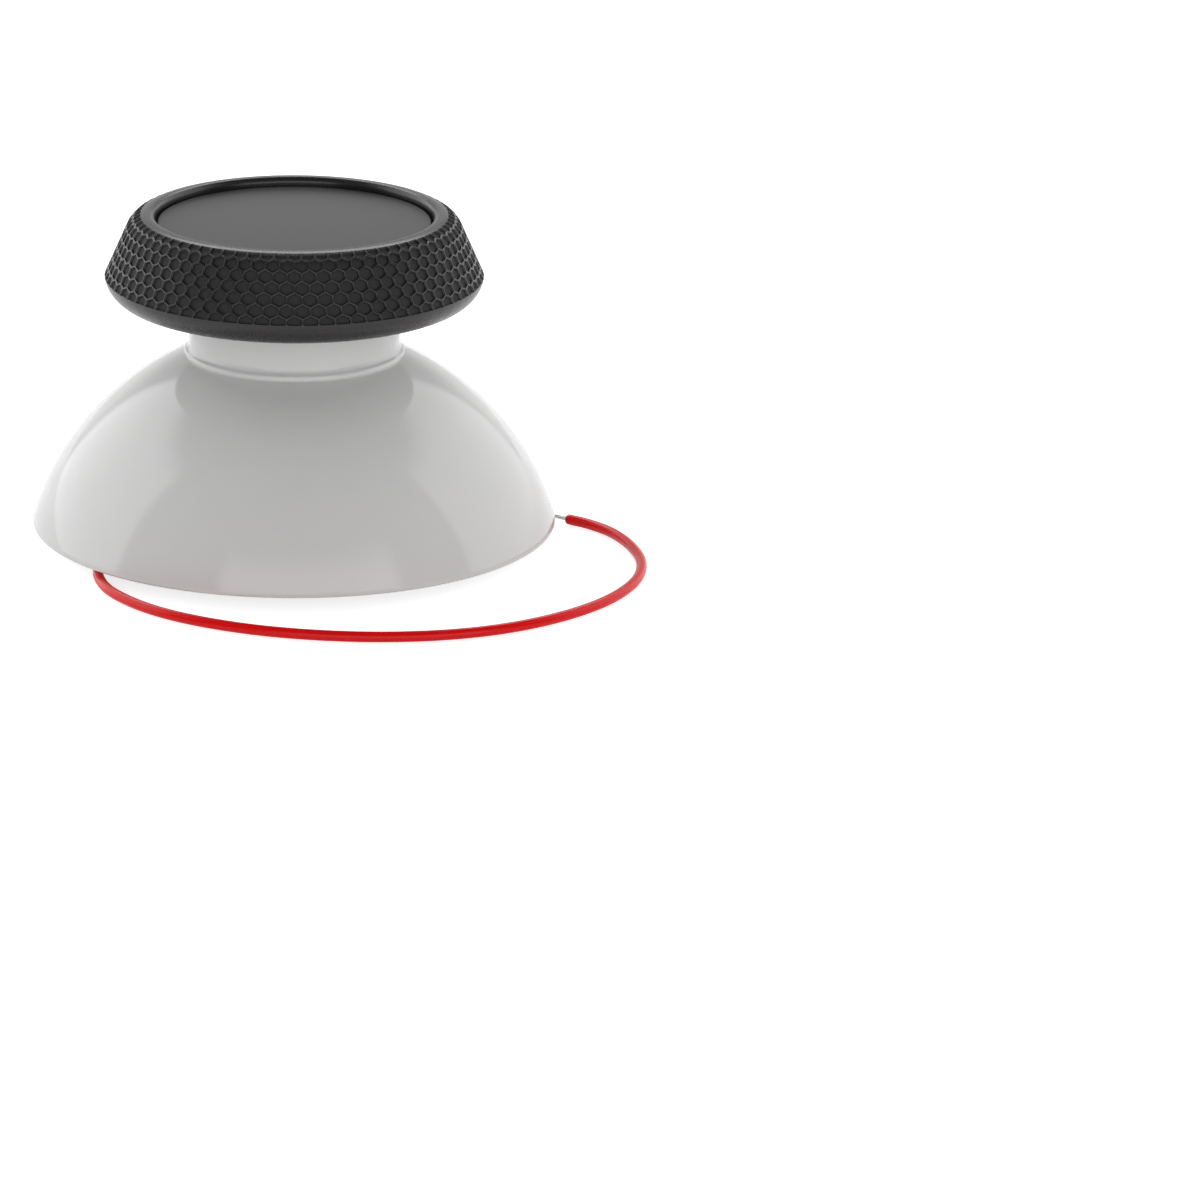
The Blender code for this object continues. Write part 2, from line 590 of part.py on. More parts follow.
def main():
    """Build the thumbstick."""
    remove_all_objects()
    parts = new_collection("controller_thumbstick")
    cutters = new_collection("cutters")
    stick = add_object("thumbstick", None, parts, None)
    white = principled("white_gloss_plastic", (0.78, 0.78, 0.77), 0.12)
    black = principled("black_soft_plastic", (0.020, 0.020, 0.022), 0.50)
    satin = principled("satin_black_disc", (0.045, 0.045, 0.047), 0.32)
    copper = principled("copper_plate", (0.80, 0.42, 0.26), 0.35, 1.0)
    solder = principled("solder", (0.72, 0.73, 0.74), 0.30, 1.0)
    red = principled("red_insulation", (0.62, 0.012, 0.015), 0.35)
    add_dome_stem(parts, cutters, stick, white)
    add_grip_cap(parts, cutters, stick, black)
    add_touch_disc(parts, stick, satin)
    add_electrode_plate(parts, stick, copper)
    add_solder_joint(parts, stick, solder)
    add_wire(parts, stick, red, solder)


main()
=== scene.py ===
"""Looks of the controller thumbstick: white dome, black honeycomb grip cap, touch disc and red wire.

Every length is in metres, in the part's own frame: +Z is up along the stick's axis, and the
origin is at the middle of the socket post's end, which the stick stands on.
"""

from __future__ import annotations

import logging
import math
from dataclasses import dataclass, field
from enum import Enum

import bmesh
import bpy
from mathutils import Matrix, Vector

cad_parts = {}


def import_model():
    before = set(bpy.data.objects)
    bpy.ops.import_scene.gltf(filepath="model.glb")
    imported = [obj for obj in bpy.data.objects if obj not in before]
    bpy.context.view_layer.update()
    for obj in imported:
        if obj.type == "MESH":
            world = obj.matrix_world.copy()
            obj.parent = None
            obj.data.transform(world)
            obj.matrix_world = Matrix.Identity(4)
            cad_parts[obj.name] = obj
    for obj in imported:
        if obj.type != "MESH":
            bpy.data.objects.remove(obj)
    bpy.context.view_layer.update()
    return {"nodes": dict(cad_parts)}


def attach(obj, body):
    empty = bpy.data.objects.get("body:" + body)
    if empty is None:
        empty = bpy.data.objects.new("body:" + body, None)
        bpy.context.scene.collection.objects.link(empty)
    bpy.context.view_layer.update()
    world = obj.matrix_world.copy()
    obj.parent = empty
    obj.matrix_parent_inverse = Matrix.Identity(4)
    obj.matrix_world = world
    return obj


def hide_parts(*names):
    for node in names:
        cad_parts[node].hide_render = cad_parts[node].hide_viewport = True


LOG = logging.getLogger("thumbstick")

MM = 0.001
PHOTO_SIZE = 1200.0
MERGE_REACH = 0.0001 * MM
END_REACH = 1e-8
CUT_REACH = 1e-9
# A Mix node's colour sockets, whose names its other data types share
MIX_COLOURS = slice(6, 8)
MIX_RESULT = 2

Point2 = tuple[float, float]
Colour = tuple[float, float, float]


class RayKind(Enum):
    """Rays that see the white backdrop as it is, in Light Path's own words."""

    CAMERA = "Is Camera Ray"
    GLOSSY = "Is Glossy Ray"
    TRANSMISSION = "Is Transmission Ray"


class NodeSheet:
    """A material's or world's node tree, with short ways to add and join nodes."""

    def __init__(self, tree: bpy.types.NodeTree) -> None:
        """Start from an empty tree.

        Args:
            tree: the tree to fill, whose nodes are cleared.
        """
        self.tree = tree
        tree.nodes.clear()

    def add(self, kind: str, **settings: object) -> bpy.types.Node:
        """Add a node.

        Args:
            kind: the node's type name.
            settings: the node's own properties.

        Returns:
            The new node.
        """
        node = self.tree.nodes.new(kind)
        for name, value in settings.items():
            setattr(node, name, value)
        return node

    def join(self, source: bpy.types.NodeSocket, target: bpy.types.NodeSocket) -> None:
        """Link two sockets."""
        self.tree.links.new(source, target)

    def maths(self, operation: str, first: object, second: object) -> bpy.types.NodeSocket:
        """Add a Math node.

        Args:
            operation: the Math node's operation.
            first: a socket or a number.
            second: a socket or a number.

        Returns:
            The result's socket.
        """
        node = self.add("ShaderNodeMath", operation=operation)
        for socket, value in zip(node.inputs, (first, second)):
            if isinstance(value, bpy.types.NodeSocket):
                self.join(value, socket)
            else:
                socket.default_value = value
        return node.outputs[0]

    def spread(self, source: bpy.types.NodeSocket, low: float, high: float,
               start: float = 0.0, end: float = 1.0) -> bpy.types.NodeSocket:
        """Map a value from start..end to low..high.

        Args:
            source: the value's socket.
            low: result at start.
            high: result at end.
            start: the value's lower limit.
            end: the value's upper limit.

        Returns:
            The result's socket.
        """
        node = self.add("ShaderNodeMapRange")
        self.join(source, node.inputs["Value"])
        for name, value in (("From Min", start), ("From Max", end), ("To Min", low), ("To Max", high)):
            node.inputs[name].default_value = value
        return node.outputs["Result"]

    def step(self, source: bpy.types.NodeSocket, low: float, high: float, start: float, end: float
             ) -> bpy.types.NodeSocket:
        """Go smoothly from low to high as a value goes from start to end.

        Args:
            source: the value's socket.
            low: result at start and below.
            high: result at end and above.
            start: where the change begins.
            end: where it is complete.

        Returns:
            The result's socket.
        """
        result = self.spread(source, low, high, start, end)
        result.node.interpolation_type = "SMOOTHSTEP"
        return result

    def mix(self, factor: bpy.types.NodeSocket, low: object, high: object) -> bpy.types.NodeSocket:
        """Mix two colours.

        Args:
            factor: socket of the mix, 0 for low and 1 for high.
            low: a socket or a colour.
            high: a socket or a colour.

        Returns:
            The mixed colour's socket.
        """
        node = self.add("ShaderNodeMix", data_type="RGBA")
        self.join(factor, node.inputs["Factor"])
        for socket, value in zip(node.inputs[MIX_COLOURS], (low, high)):
            if isinstance(value, bpy.types.NodeSocket):
                self.join(value, socket)
            else:
                socket.default_value = (*value, 1.0)
        return node.outputs[MIX_RESULT]

    def noise(self, cell: float, detail: float = 3.0) -> bpy.types.NodeSocket:
        """Add noise on Object coordinates.

        Args:
            cell: size of the noise's grains, in metres.
            detail: octaves of finer noise.

        Returns:
            The noise's value socket.
        """
        noise = self.add("ShaderNodeTexNoise")
        noise.inputs["Scale"].default_value = 1.0 / cell
        noise.inputs["Detail"].default_value = detail
        self.join(self.add("ShaderNodeTexCoord").outputs["Object"], noise.inputs["Vector"])
        return noise.outputs["Fac"]

    def bump(self, height: bpy.types.NodeSocket, depth: float) -> bpy.types.NodeSocket:
        """Add a bump.

        Args:
            height: socket of the height, 0 to 1.
            depth: metres between heights 0 and 1.

        Returns:
            The normal's socket.
        """
        node = self.add("ShaderNodeBump")
        node.inputs["Strength"].default_value = 1.0
        node.inputs["Distance"].default_value = depth
        self.join(height, node.inputs["Height"])
        return node.outputs["Normal"]

    def seen_rays(self, shining: float | bpy.types.NodeSocket = 1.0) -> bpy.types.NodeSocket:
        """Tell the rays that see the backdrop from the rest.

        Args:
            shining: what glossy and transmission rays get, 0 to 1.

        Returns:
            A socket that is 1 for camera rays, shining for those two and 0 for others.
        """
        path = self.add("ShaderNodeLightPath")
        both = self.maths("MAXIMUM", path.outputs[RayKind.GLOSSY.value],
                          path.outputs[RayKind.TRANSMISSION.value])
        return self.maths("MAXIMUM", path.outputs[RayKind.CAMERA.value],
                          self.maths("MULTIPLY", both, shining))


def shades(colour: Colour, change: float) -> tuple[Colour, Colour]:
    """Return a colour made darker and lighter by the same share."""
    return (tuple(channel * (1.0 - change) for channel in colour),
            tuple(min(1.0, channel * (1.0 + change)) for channel in colour))


@dataclass(frozen=True)
class Finish:
    """A surface finish, whose grain varies its colour and roughness a little."""

    name: str
    colour: Colour
    roughness: float
    metallic: float = 0.0
    ior: float = 1.5
    colour_change: float = 0.04
    roughness_change: float = 0.03
    grain: float = 0.4 * MM
    grain_depth: float = 0.0

    def shader(self, sheet: NodeSheet) -> bpy.types.Node:
        """Add the Principled shader with its fixed values.

        Args:
            sheet: the material's nodes.

        Returns:
            The shader's node, joined to the output.
        """
        shader = sheet.add("ShaderNodeBsdfPrincipled")
        shader.inputs["Metallic"].default_value = self.metallic
        shader.inputs["IOR"].default_value = self.ior
        output = sheet.add("ShaderNodeOutputMaterial")
        sheet.join(shader.outputs["BSDF"], output.inputs["Surface"])
        return shader

    def material(self) -> bpy.types.Material:
        """Make the finish's material.

        Returns:
            A new node material.
        """
        material = bpy.data.materials.new(self.name)
        material.use_nodes = True
        material.diffuse_color = (*self.colour, 1.0)
        self.dress(NodeSheet(material.node_tree))
        return material

    def dress(self, sheet: NodeSheet) -> None:
        """Fill the material's nodes.

        Args:
            sheet: the material's empty nodes.
        """
        shader = self.shader(sheet)
        grain = sheet.noise(self.grain)
        sheet.join(sheet.mix(grain, *shades(self.colour, self.colour_change)), shader.inputs["Base Color"])
        sheet.join(sheet.spread(grain, self.roughness - self.roughness_change,
                                self.roughness + self.roughness_change), shader.inputs["Roughness"])
        if self.grain_depth:
            sheet.join(sheet.bump(grain, self.grain_depth), shader.inputs["Normal"])


@dataclass(frozen=True)
class GripFinish(Finish):
    """Black moulded plastic: smooth body and ribs, with grainy floors between the ribs."""

    floor_colour: Colour = (0.018, 0.018, 0.019)
    floor_change: float = 0.3
    floor_roughness: float = 0.75
    floor_grain: float = 0.05 * MM
    floor_detail: float = 4.0
    floor_depth: float = 0.004 * MM
    body_depth_share: float = 0.04
    # Painted shade: the ribs are coloured darker than the body and the floors, standing in for the dark lines
    # between the cells.
    rib_painted_shade: Colour = (0.008, 0.008, 0.0085)
    rib_roughness: float = 0.26

    def dress(self, sheet: NodeSheet) -> None:
        """Fill the material's nodes.

        Args:
            sheet: the material's empty nodes.
        """
        shader = self.shader(sheet)
        floor = sheet.add("ShaderNodeAttribute", attribute_name=GripCap.FLOOR_LAYER).outputs["Fac"]
        rib = sheet.add("ShaderNodeAttribute", attribute_name=GripCap.RIB_LAYER).outputs["Fac"]
        grain = sheet.noise(self.grain)
        speckle = sheet.noise(self.floor_grain, self.floor_detail)
        body = sheet.mix(grain, *shades(self.colour, self.colour_change))
        floor_tone = sheet.mix(speckle, *shades(self.floor_colour, self.floor_change))
        plain = sheet.mix(floor, body, floor_tone)
        # Painted shade: the ribs take the darker rib colour, for the dark lines between the cells.
        sheet.join(sheet.mix(rib, plain, self.rib_painted_shade), shader.inputs["Base Color"])
        smooth = sheet.spread(grain, self.roughness - self.roughness_change,
                              self.roughness + self.roughness_change)
        rough = sheet.maths("ADD", smooth, sheet.spread(floor, 0.0, self.floor_roughness - self.roughness))
        rough = sheet.maths("ADD", rough, sheet.spread(rib, 0.0, self.rib_roughness - self.roughness))
        sheet.join(rough, shader.inputs["Roughness"])
        height = sheet.maths("MULTIPLY", speckle, sheet.spread(floor, self.body_depth_share, 1.0))
        sheet.join(sheet.bump(height, self.floor_depth), shader.inputs["Normal"])


WHITE_GLOSS = Finish("white_gloss_plastic", (0.76, 0.76, 0.755), 0.03, colour_change=0.01,
                     roughness_change=0.01, grain=1.6 * MM, grain_depth=0.0003 * MM)
BLACK_GRIP = GripFinish("black_grip_plastic", (0.012, 0.012, 0.0125), 0.28, colour_change=0.12,
                        roughness_change=0.04, grain=0.12 * MM)
SATIN_DISC = Finish("satin_black_disc", (0.022, 0.022, 0.023), 0.32, ior=1.36, colour_change=0.06,
                    grain=0.07 * MM, grain_depth=0.0006 * MM)
COPPER = Finish("copper_plate", (0.80, 0.42, 0.26), 0.34, metallic=1.0, colour_change=0.08,
                roughness_change=0.08, grain=0.3 * MM, grain_depth=0.002 * MM)
SOLDER = Finish("solder_finish", (0.72, 0.73, 0.74), 0.32, metallic=1.0, colour_change=0.06,
                roughness_change=0.08, grain=0.12 * MM, grain_depth=0.003 * MM)
TINNED = Finish("tinned_strands", (0.74, 0.74, 0.75), 0.38, metallic=1.0, colour_change=0.06,
                roughness_change=0.08, grain=0.06 * MM, grain_depth=0.001 * MM)
RED_INSULATION = Finish("red_wire_insulation", (0.88, 0.002, 0.004), 0.24, ior=1.33, colour_change=0.05,
                        roughness_change=0.04, grain=0.25 * MM, grain_depth=0.0015 * MM)


class Outline:
    """Turned outline: points (r, z) in order, read by the length travelled along them."""

    def __init__(self, points: list[Point2], zero: int = 0) -> None:
        """Measure the outline.

        Args:
            points: the outline's points.
            zero: index of the point where the travelled length is 0.
        """
        self.points = [Vector(point) for point in points]
        self.travelled = [0.0]
        for first, second in zip(self.points, self.points[1:]):
            self.travelled.append(self.travelled[-1] + (second - first).length)
        start = self.travelled[zero]
        self.travelled = [length - start for length in self.travelled]

    def at(self, length: float) -> tuple[Vector, Vector]:
        """Read the outline.

        Args:
            length: travelled length, negative before the zero point.

        Returns:
            The point there and the direction that points out of the solid.
        """
        last = len(self.points) - 2
        k = 0
        while k < last and self.travelled[k + 1] < length:
            k += 1
        run = self.points[k + 1] - self.points[k]
        share = (length - self.travelled[k]) / (self.travelled[k + 1] - self.travelled[k])
        place = self.points[k] + run * share
        return place, Vector((run.y, -run.x)).normalized()


def arc(centre: Point2, radius: float, start: float, end: float, steps: int) -> list[Point2]:
    """Work out the points of an arc.

    Args:
        centre: the arc's centre (r, z).
        radius: its radius.
        start: first angle in degrees from +r.
        end: last angle.
        steps: number of steps.

    Returns:
        The points, both ends among them.
    """
    angles = (math.radians(start + (end - start) * i / steps) for i in range(steps + 1))
    return [(centre[0] + radius * math.cos(a), centre[1] + radius * math.sin(a)) for a in angles]


def fillet(before: Point2, corner: Point2, after: Point2, radius: float, steps: int) -> list[Point2]:
    """Round the corner between two straight runs.

    Args:
        before: a point on the run before the corner.
        corner: the corner.
        after: a point on the run after it.
        radius: the rounding's radius.
        steps: number of steps.

    Returns:
        The arc's points.
    """
    middle = Vector(corner)
    back = (Vector(before) - middle).normalized()
    onward = (Vector(after) - middle).normalized()
    half = back.angle(onward) / 2
    centre = middle + (back + onward).normalized() * (radius / math.sin(half))
    first = middle + back * (radius / math.tan(half)) - centre
    last = middle + onward * (radius / math.tan(half)) - centre
    turn = first.angle_signed(last)
    start = math.atan2(first.y, first.x)
    angles = (start - turn * i / steps for i in range(steps + 1))
    return [(centre.x + radius * math.cos(a), centre.y + radius * math.sin(a)) for a in angles]


def tangent_angle(centre: Point2, radius: float, point: Point2) -> float:
    """Return the angle in degrees where a line from the point touches the circle."""
    to_point = Vector(point) - Vector(centre)
    return math.degrees(math.atan2(to_point.y, to_point.x) + math.acos(radius / to_point.length))


def corner_angle(near: float, far: float, opposite: float) -> float:
    """Return the angle in degrees between two sides of a triangle, from its three lengths."""
    return math.degrees(math.acos((near ** 2 + far ** 2 - opposite ** 2) / (2 * near * far)))


def new_piece(name: str, shape: bmesh.types.BMesh, material: bpy.types.Material,
              sharp: float = 40.0) -> bpy.types.Object:
    """Turn a bmesh into a piece at the origin, shaded smooth with sharp corners.

    Args:
        name: the piece's name.
        shape: its bmesh, which is freed.
        material: its material.
        sharp: angle in degrees above which an edge is sharp.

    Returns:
        The new object.
    """
    mesh = bpy.data.meshes.new(name)
    shape.to_mesh(mesh)
    shape.free()
    mesh.materials.append(material)
    mesh.shade_smooth()
    mesh.set_sharp_from_angle(angle=math.radians(sharp))
    piece = bpy.data.objects.new(name, mesh)
    bpy.context.scene.collection.objects.link(piece)
    return piece


def spun(profile: list[Point2], steps: int) -> bmesh.types.BMesh:
    """Turn a profile round the Z axis.

    Args:
        profile: points (r, z), with both ends on the axis for a closed body.
        steps: number of steps round.

    Returns:
        The closed shape, with outward normals.
    """
    shape = bmesh.new()
    verts = [shape.verts.new((r, 0.0, z)) for r, z in profile]
    edges = [shape.edges.new(pair) for pair in zip(verts, verts[1:])]
    bmesh.ops.spin(shape, geom=verts + edges, cent=(0, 0, 0), axis=(0, 0, 1), angle=math.tau,
                   steps=steps, use_merge=True)
    bmesh.ops.remove_doubles(shape, verts=shape.verts, dist=MERGE_REACH)
    bmesh.ops.recalc_face_normals(shape, faces=shape.faces)
    return shape


def extruded(shape: bmesh.types.BMesh, edges: list[bmesh.types.BMEdge]
             ) -> tuple[list[bmesh.types.BMVert], list[bmesh.types.BMEdge]]:
    """Extrude edges without moving them.

    Args:
        shape: the bmesh.
        edges: the edges to extrude.

    Returns:
        The new vertices, and the new edges between them.
    """
    made = bmesh.ops.extrude_edge_only(shape, edges=edges)["geom"]
    verts = [item for item in made if isinstance(item, bmesh.types.BMVert)]
    ring = set(verts)
    return verts, [item for item in made if isinstance(item, bmesh.types.BMEdge)
                   and item.verts[0] in ring and item.verts[1] in ring]


def cut(piece: bpy.types.Object, tool: bmesh.types.BMesh, operation: str = "DIFFERENCE") -> None:
    """Cut a piece with a tool, or join them, and keep the result as its mesh.

    Args:
        piece: the piece.
        tool: the tool's shape, which is freed.
        operation: the Boolean modifier's operation.
    """
    mesh = bpy.data.meshes.new("tool")
    tool.to_mesh(mesh)
    tool.free()
    helper = bpy.data.objects.new("tool", mesh)
    bpy.context.scene.collection.objects.link(helper)
    modifier = piece.modifiers.new("cut", "BOOLEAN")
    modifier.operation = operation
    modifier.object = helper
    modifier.solver = "EXACT"
    evaluated = piece.evaluated_get(bpy.context.evaluated_depsgraph_get())
    result = bpy.data.meshes.new_from_object(evaluated)
    piece.modifiers.clear()
    old = piece.data
    piece.data = result
    result.name = piece.name
    bpy.data.meshes.remove(old)
    bpy.data.objects.remove(helper)
    bpy.data.meshes.remove(mesh)


def cylinder(radius: float, bottom: float, top: float, x: float, y: float, segments: int = 40
             ) -> bmesh.types.BMesh:
    """Make an upright cylinder.

    Args:
        radius: its radius.
        bottom: its lower end's height.
        top: its upper end's height.
        x: its axis, across.
        y: its axis, in depth.
        segments: number of sides.

    Returns:
        The closed shape.
    """
    shape = bmesh.new()
    bmesh.ops.create_cone(shape, cap_ends=True, segments=segments, radius1=radius, radius2=radius,
                          depth=top - bottom)
    bmesh.ops.translate(shape, vec=(x, y, (bottom + top) / 2), verts=shape.verts)
    return shape


def block(size: tuple[float, float, float], centre: tuple[float, float, float], turn: float = 0.0
          ) -> bmesh.types.BMesh:
    """Make a box turned about Z.

    Args:
        size: its three lengths.
        centre: its middle.
        turn: its angle about Z, in radians.

    Returns:
        The closed shape.
    """
    shape = bmesh.new()
    bmesh.ops.create_cube(shape, size=1.0)
    bmesh.ops.scale(shape, vec=size, verts=shape.verts)
    bmesh.ops.rotate(shape, cent=(0, 0, 0), matrix=Matrix.Rotation(turn, 3, "Z"), verts=shape.verts)
    bmesh.ops.translate(shape, vec=centre, verts=shape.verts)
    return shape


@dataclass
class StickSizes:
    """Sizes that several pieces share, as the part's source has them."""

    clearance: float = 0.1 * MM
    rim_radius: float = 12.5 * MM
    dome_centre_drop: float = 3.65 * MM
    dome_wall: float = 1.0 * MM
    rim_height: float = 0.7 * MM
    neck_radius: float = 5.0 * MM
    neck_length: float = 2.54 * MM
    neck_wall: float = 0.5 * MM
    neck_bore_depth: float = 2.1 * MM
    cap_height: float = 4.21 * MM
    neck_seat_depth: float = 0.3 * MM
    crest_radius: float = 6.87 * MM
    lip_radius: float = 0.3 * MM
    disc_drop: float = 0.41 * MM
    disc_thickness: float = 0.5 * MM
    disc_crown: float = 0.10 * MM
    plate_radius: float = 5.7 * MM
    plate_thickness: float = 0.2 * MM
    wire_hole_radius: float = 0.35 * MM
    wire_hole_reach: float = 3.8 * MM
    wire_hole_angle: float = math.radians(200.0)
    solder_height: float = 0.45 * MM
    solder_tail: float = 0.45 * MM
    key_width: float = 1.0 * MM
    key_depth: float = 0.5 * MM

    @property
    def ball_radius(self) -> float:
        """Radius of the dome's ball."""
        return math.hypot(self.rim_radius, self.dome_centre_drop)

    @property
    def centre_z(self) -> float:
        """Height of the dome's ball centre."""
        return self.rim_height - self.dome_centre_drop

    @property
    def neck_foot_z(self) -> float:
        """Height where the neck meets the dome."""
        return self.centre_z + math.sqrt(self.ball_radius ** 2 - self.neck_radius ** 2)

    @property
    def cap_z(self) -> float:
        """Height of the cap's underside."""
        return self.neck_foot_z + self.neck_length

    @property
    def neck_top_z(self) -> float:
        """Height of the neck's upper end."""
        return self.cap_z + self.neck_seat_depth - self.clearance

    @property
    def bore_radius(self) -> float:
        """Radius of the neck's bore."""
        return self.neck_radius - self.neck_wall

    @property
    def bore_floor_z(self) -> float:
        """Height of the floor of the neck's bore."""
        return self.neck_top_z - self.neck_bore_depth

    @property
    def crest_z(self) -> float:
        """Height of the lip's crest."""
        return self.cap_z + self.cap_height

    @property
    def lip_wall_radius(self) -> float:
        """Radius of the recess that holds the disc."""
        return self.crest_radius - self.lip_radius

    @property
    def disc_z(self) -> float:
        """Height of the disc's underside."""
        return self.crest_z - self.disc_drop - self.disc_thickness

    @property
    def plate_seat_z(self) -> float:
        """Height of the seat under the electrode plate."""
        return self.disc_z - 2 * self.clearance - self.plate_thickness

    @property
    def wire_x(self) -> float:
        """Wire hole's place across."""
        return self.wire_hole_reach * math.cos(self.wire_hole_angle)

    @property
    def wire_y(self) -> float:
        """Wire hole's place in depth."""
        return self.wire_hole_reach * math.sin(self.wire_hole_angle)

    @property
    def wire_top_z(self) -> float:
        """Height of the wire's upper end, under the solder joint."""
        plate_z = self.disc_z - self.clearance - self.plate_thickness
        return plate_z - 2 * self.clearance - self.solder_height - self.solder_tail


SIZES = StickSizes()


@dataclass
class PhotoCamera:
    """Camera at the photograph's place, which keeps the stick's axis upright in the picture."""

    eye: Vector = field(default_factory=lambda: Vector((0.0, -330.0 * MM, 103.26 * MM)))
    axis_point: Vector = field(default_factory=lambda: Vector((0.0, 0.0, 8.7 * MM)))
    axis_pixel: Point2 = (294.5, 357.74)
    focal_pixels: float = 7223.4
    sensor: float = 36.0
    near: float = 0.01
    far: float = 20.0

    @staticmethod
    def triad(first: Vector, second: Vector) -> Matrix:
        """Return the matrix whose columns are first, a side at right angles to both, and the third."""
        side = first.cross(second).normalized()
        return Matrix((first, side, first.cross(side))).transposed()

    def build(self) -> bpy.types.Object:
        """Make the scene's camera.

        Returns:
            The camera's object.
        """
        data = bpy.data.cameras.new("photo_camera")
        data.sensor_fit = "HORIZONTAL"
        data.sensor_width = self.sensor
        data.lens = self.focal_pixels / PHOTO_SIZE * self.sensor
        data.clip_start = self.near
        data.clip_end = self.far
        data.dof.use_dof = False
        camera = bpy.data.objects.new("photo_camera", data)
        half = PHOTO_SIZE / 2
        seen = Vector((self.axis_pixel[0] - half, half - self.axis_pixel[1], -self.focal_pixels)).normalized()
        real = (self.axis_point - self.eye).normalized()
        turn = self.triad(real, Vector((0, 0, 1))) @ self.triad(seen, Vector((0, 1, 0))).transposed()
        camera.matrix_world = Matrix.Translation(self.eye) @ turn.to_4x4()
        bpy.context.scene.collection.objects.link(camera)
        bpy.context.scene.camera = camera
        return camera


@dataclass
class SignalWire:
    """Thin red wire: its route is the part's own, in metres."""

    sizes: StickSizes
    radius: float = 0.25 * MM
    core_radius: float = 0.125 * MM
    stripped: float = 0.7 * MM
    lie_z: float = 0.26 * MM
    sides: int = 24
    spacing: float = 0.25 * MM
    curve_steps: int = 24
    end_round: float = 0.10 * MM
    end_steps: int = 5
    strands: int = 6
    strand_turns: float = 0.8
    strand_sides: int = 8
    strand_steps: int = 10
    strand_reach: float = 1.9
    strand_gather: float = 0.25
    strand_gap: float = 0.02 * MM

    def route(self) -> list[Vector]:
        """List the route's points, as given.

        Returns:
            The points from under the solder joint to the end of the insulation.
        """
        x, y, top, lie = self.sizes.wire_x, self.sizes.wire_y, self.sizes.wire_top_z, self.lie_z
        return [Vector(point) for point in (
            (x, y, top),
            (x, y, (top + 0.0080) / 2),
            (x, y, 0.0080),
            (-0.00366, -0.00131, 0.0066),
            (-0.00392, -0.00136, 0.0050),
            (-0.00450, -0.00146, 0.0032),
            (-0.00545, -0.00166, 0.0016),
            (-0.00665, -0.00210, 0.00060),
            (-0.00790, -0.00300, lie),
            (-0.00875, -0.00440, lie),
            (-0.00915, -0.00610, lie),
            (-0.00910, -0.00800, lie),
            (-0.00845, -0.01010, lie),
            (-0.00690, -0.01235, lie),
            (-0.00480, -0.01415, lie),
            (-0.00205, -0.01560, lie),
            (0.00090, -0.01645, lie),
            (0.00400, -0.01675, lie),
            (0.00710, -0.01640, lie),
            (0.01000, -0.01532, lie),
            (0.01260, -0.01348, lie),
            (0.01462, -0.01115, lie),
            (0.01593, -0.00840, lie),
            (0.01635, -0.00560, lie),
            (0.01600, -0.00305, lie),
            (0.01520, -0.00090, lie),
            (0.01415, 0.00052, lie),
            (0.01310, 0.00140, lie),
        )]

    def line(self) -> list[Vector]:
        """Work out even points on the smooth curve through the route.

        Returns:
            The wire's centreline.
        """
        route = self.route()
        ends = [2 * route[0] - route[1], *route, 2 * route[-1] - route[-2]]
        dense = []
        for a, b, c, d in zip(ends, ends[1:], ends[2:], ends[3:]):
            for t in (i / self.curve_steps for i in range(self.curve_steps)):
                dense.append(0.5 * (2 * b + (c - a) * t + (2 * a - 5 * b + 4 * c - d) * t ** 2
                                    + (3 * b - 3 * c + d - a) * t ** 3))
        dense.append(route[-1])
        travelled = [0.0]
        for a, b in zip(dense, dense[1:]):
            travelled.append(travelled[-1] + (b - a).length)
        count = round(travelled[-1] / self.spacing)
        even = []
        k = 0
        for i in range(count + 1):
            wanted = travelled[-1] * i / count
            while k < len(dense) - 2 and travelled[k + 1] < wanted:
                k += 1
            share = (wanted - travelled[k]) / (travelled[k + 1] - travelled[k])
            even.append(dense[k].lerp(dense[k + 1], share))
        return even

    @staticmethod
    def sleeve(shape: bmesh.types.BMesh, rings: list[tuple[Vector, Vector, float]], sides: int) -> None:
        """Sweep a circle along rings and close its two ends.

        Args:
            shape: the bmesh that takes the sleeve.
            rings: middle, heading and radius of each ring in turn.
            sides: number of sides round it.
        """
        ring = bmesh.ops.create_circle(shape, cap_ends=False, segments=sides, radius=1.0)["verts"]
        unit = [vert.co.copy() for vert in ring]
        edges = list({edge for vert in ring for edge in vert.link_edges})
        first = edges
        side = Vector((1, 0, 0))
        for number, (middle, heading, radius) in enumerate(rings):
            side = (side - heading * side.dot(heading)).normalized()
            third = heading.cross(side)
            if number:
                new_verts, edges = extruded(shape, edges)
                pairs = {}
                for vert in new_verts:
                    old = next(edge.other_vert(vert) for edge in vert.link_edges
                               if edge.other_vert(vert) not in new_verts)
                    pairs[old] = vert
                ring = [pairs[vert] for vert in ring]
            for vert, place in zip(ring, unit):
                vert.co = middle + (side * place.x + third * place.y) * radius
        bmesh.ops.edgeloop_fill(shape, edges=first)
        bmesh.ops.edgeloop_fill(shape, edges=edges)

    @staticmethod
    def headings(line: list[Vector]) -> list[Vector]:
        """Return the direction of travel at each point of a line."""
        ahead = [*line[1:], 2 * line[-1] - line[-2]]
        behind = [2 * line[0] - line[1], *line[:-1]]
        return [(b - a).normalized() for a, b in zip(behind, ahead)]

